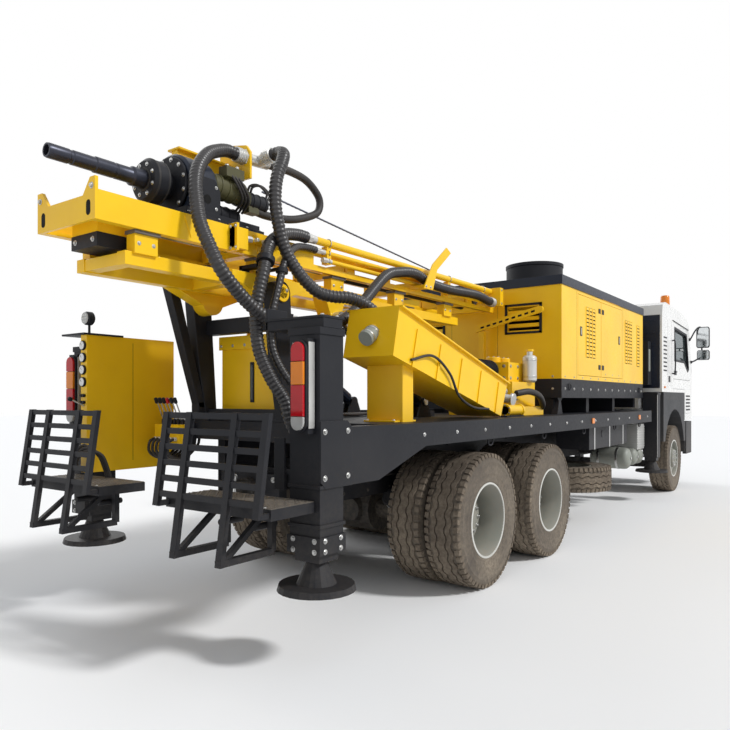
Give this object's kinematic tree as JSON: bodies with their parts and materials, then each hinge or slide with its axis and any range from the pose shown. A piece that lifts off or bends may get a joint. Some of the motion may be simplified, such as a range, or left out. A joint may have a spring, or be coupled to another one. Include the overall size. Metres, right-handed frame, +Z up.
{
  "type": "truck-mounted water well drilling rig",
  "caption": "Water well drilling rig on a cab-over lorry: tilting mast with sliding rotary head, levelling jacks, operator platforms and a compressor housing.",
  "frame": {"origin": "middle of the machine's bounding box, on the ground under it", "axes": "+X forwards to the cab, +Y to the left side, +Z up"},
  "size_m": [11.62, 2.98, 3.4],
  "materials": {
    "yellow_paint": "semi-gloss",
    "black_paint": "semi-gloss",
    "white_paint": "gloss",
    "grey_plastic": "matt",
    "tank_paint": "matt",
    "cast_metal": "painted",
    "bare_steel": "ground",
    "tyre": "dusty",
    "hose_rubber": "ribbed",
    "screen_glass": "clear",
    "amber_plastic": "clear"
  },
  "bodies": {
    "machine": {"truck_frame": "black_paint", "rear_springs": "black_paint", "front_axle": "black_paint", "rear_axle_1": "cast_metal", "rear_axle_2": "cast_metal", "spare_wheel": "tyre", "power_train": "cast_metal", "fuel_tank": "black_paint", "air_tanks": "tank_paint", "air_intake": "black_paint", "cab_shell": "white_paint", "windscreen": "screen_glass", "cab_interior": "grey_plastic", "front_bumper": "grey_plastic", "mudguard_L": "grey_plastic", "mudguard_R": "grey_plastic", "mirror_L": "grey_plastic", "mirror_R": "grey_plastic", "beacon": "amber_plastic", "deck_frame": "black_paint", "platform_L": "black_paint", "platform_R": "black_paint", "console": "yellow_paint", "centre_tank": "yellow_paint", "mast_support": "black_paint", "trough": "yellow_paint", "pump_unit": "yellow_paint", "compressor_base": "black_paint", "compressor_block": "cast_metal", "compressor_housing": "yellow_paint", "hose_head": "hose_rubber"},
    "knuckle_L": {"knuckle_L": "cast_metal"},
    "knuckle_R": {"knuckle_R": "cast_metal"},
    "front_wheel_L": {"front_wheel_L": "tyre"},
    "front_wheel_R": {"front_wheel_R": "tyre"},
    "rear_wheel_1_L": {"rear_wheel_1_L": "tyre"},
    "rear_wheel_1_R": {"rear_wheel_1_R": "tyre"},
    "rear_wheel_2_L": {"rear_wheel_2_L": "tyre"},
    "rear_wheel_2_R": {"rear_wheel_2_R": "tyre"},
    "cab_door_L": {"cab_door_L": "white_paint"},
    "cab_door_R": {"cab_door_R": "white_paint"},
    "jack_rear_L": {"jack_leg_rear_L": "black_paint"},
    "jack_rear_R": {"jack_leg_rear_R": "black_paint"},
    "jack_front_L": {"jack_leg_front_L": "black_paint"},
    "jack_front_R": {"jack_leg_front_R": "black_paint"},
    "cradle": {"cradle": "yellow_paint"},
    "mast": {"mast": "yellow_paint"},
    "head": {"rotary_head": "black_paint"},
    "spindle": {"spindle": "bare_steel"},
    "lift_barrel_L": {"lift_barrel_L": "black_paint"},
    "lift_barrel_R": {"lift_barrel_R": "black_paint"},
    "lift_rod_L": {"lift_rod_L": "bare_steel"},
    "lift_rod_R": {"lift_rod_R": "bare_steel"},
    "house_door_1_L": {"house_door_1_L": "yellow_paint"},
    "house_door_1_R": {"house_door_1_R": "yellow_paint"},
    "house_door_2_L": {"house_door_2_L": "yellow_paint"},
    "house_door_2_R": {"house_door_2_R": "yellow_paint"}
  },
  "joints": [
    {"name": "steer_L", "type": "hinge", "parent": "machine", "child": "knuckle_L", "pos_m": [4.3, 0.84, 0.5453], "axis": [0, 0, 1], "range_deg": [-35, 35]},
    {"name": "steer_R", "type": "hinge", "parent": "machine", "child": "knuckle_R", "pos_m": [4.3, -0.84, 0.5453], "axis": [0, 0, 1], "range_deg": [-35, 35]},
    {"name": "wheel_front_L", "type": "hinge", "parent": "knuckle_L", "child": "front_wheel_L", "pos_m": [4.3, 1.04, 0.5453], "axis": [0, 1, 0], "continuous": true},
    {"name": "wheel_front_R", "type": "hinge", "parent": "knuckle_R", "child": "front_wheel_R", "pos_m": [4.3, -1.04, 0.5453], "axis": [0, 1, 0], "continuous": true},
    {"name": "wheel_rear_1_L", "type": "hinge", "parent": "machine", "child": "rear_wheel_1_L", "pos_m": [-1.43, 0.945, 0.5453], "axis": [0, 1, 0], "continuous": true},
    {"name": "wheel_rear_1_R", "type": "hinge", "parent": "machine", "child": "rear_wheel_1_R", "pos_m": [-1.43, -0.945, 0.5453], "axis": [0, 1, 0], "continuous": true},
    {"name": "wheel_rear_2_L", "type": "hinge", "parent": "machine", "child": "rear_wheel_2_L", "pos_m": [-2.8, 0.945, 0.5453], "axis": [0, 1, 0], "continuous": true},
    {"name": "wheel_rear_2_R", "type": "hinge", "parent": "machine", "child": "rear_wheel_2_R", "pos_m": [-2.8, -0.945, 0.5453], "axis": [0, 1, 0], "continuous": true},
    {"name": "door_L", "type": "hinge", "parent": "machine", "child": "cab_door_L", "pos_m": [5.585, 1.2, 1.28], "axis": [0, 0, -1], "range_deg": [0, 68]},
    {"name": "door_R", "type": "hinge", "parent": "machine", "child": "cab_door_R", "pos_m": [5.585, -1.2, 1.28], "axis": [0, 0, 1], "range_deg": [0, 68]},
    {"name": "jack_rear_L_down", "type": "slide", "parent": "machine", "child": "jack_rear_L", "axis": [0, 0, -1], "range_m": [0, 0.42]},
    {"name": "jack_rear_R_down", "type": "slide", "parent": "machine", "child": "jack_rear_R", "axis": [0, 0, -1], "range_m": [0, 0.42]},
    {"name": "jack_front_L_down", "type": "slide", "parent": "machine", "child": "jack_front_L", "axis": [0, 0, -1], "range_m": [0, 0.42]},
    {"name": "jack_front_R_down", "type": "slide", "parent": "machine", "child": "jack_front_R", "axis": [0, 0, -1], "range_m": [0, 0.42]},
    {"name": "mast_tilt", "type": "hinge", "parent": "machine", "child": "cradle", "pos_m": [-4.4, 0, 2.25], "axis": [0, -1, 0], "range_deg": [0, 90], "deforming": ["hose_head"]},
    {"name": "mast_slide", "type": "slide", "parent": "cradle", "child": "mast", "axis": [-1, 0, 0], "range_m": [0, 0.9]},
    {"name": "head_feed", "type": "slide", "parent": "mast", "child": "head", "axis": [1, 0, 0], "range_m": [0, 3]},
    {"name": "spindle_turn", "type": "hinge", "parent": "head", "child": "spindle", "pos_m": [-5.18, 0, 2.91], "axis": [1, 0, 0], "continuous": true},
    {"name": "lift_barrel_L_swing", "type": "hinge", "parent": "machine", "child": "lift_barrel_L", "pos_m": [-2.5, 0.4, 1.5], "axis": [0, 1, 0], "range_deg": [0, 10.42]},
    {"name": "lift_barrel_R_swing", "type": "hinge", "parent": "machine", "child": "lift_barrel_R", "pos_m": [-2.5, -0.4, 1.5], "axis": [0, 1, 0], "range_deg": [0, 10.42]},
    {"name": "lift_rod_L_out", "type": "slide", "parent": "lift_barrel_L", "child": "lift_rod_L", "axis": [-0.8793, 0, 0.4763], "range_m": [0, 0.948]},
    {"name": "lift_rod_R_out", "type": "slide", "parent": "lift_barrel_R", "child": "lift_rod_R", "axis": [-0.8793, 0, 0.4763], "range_m": [0, 0.948]},
    {"name": "house_door_1_L_open", "type": "hinge", "parent": "machine", "child": "house_door_1_L", "pos_m": [0.76, 1.05, 1.8], "axis": [0, 0, -1], "range_deg": [0, 85]},
    {"name": "house_door_1_R_open", "type": "hinge", "parent": "machine", "child": "house_door_1_R", "pos_m": [0.76, -1.05, 1.8], "axis": [0, 0, 1], "range_deg": [0, 85]},
    {"name": "house_door_2_L_open", "type": "hinge", "parent": "machine", "child": "house_door_2_L", "pos_m": [0.78, 1.05, 1.8], "axis": [0, 0, 1], "range_deg": [0, 85]},
    {"name": "house_door_2_R_open", "type": "hinge", "parent": "machine", "child": "house_door_2_R", "pos_m": [0.78, -1.05, 1.8], "axis": [0, 0, -1], "range_deg": [0, 85]}
  ],
  "couplings": [
    {"joint": "steer_R", "follows": "steer_L", "ratio": 1},
    {"joint": "lift_barrel_L_swing", "follows": "mast_tilt", "ratio": 0.11567},
    {"joint": "lift_barrel_R_swing", "follows": "mast_tilt", "ratio": 0.11567},
    {"joint": "lift_rod_L_out", "follows": "mast_tilt", "m_per_rad": 0.60266},
    {"joint": "lift_rod_R_out", "follows": "mast_tilt", "m_per_rad": 0.60266}
  ]
}
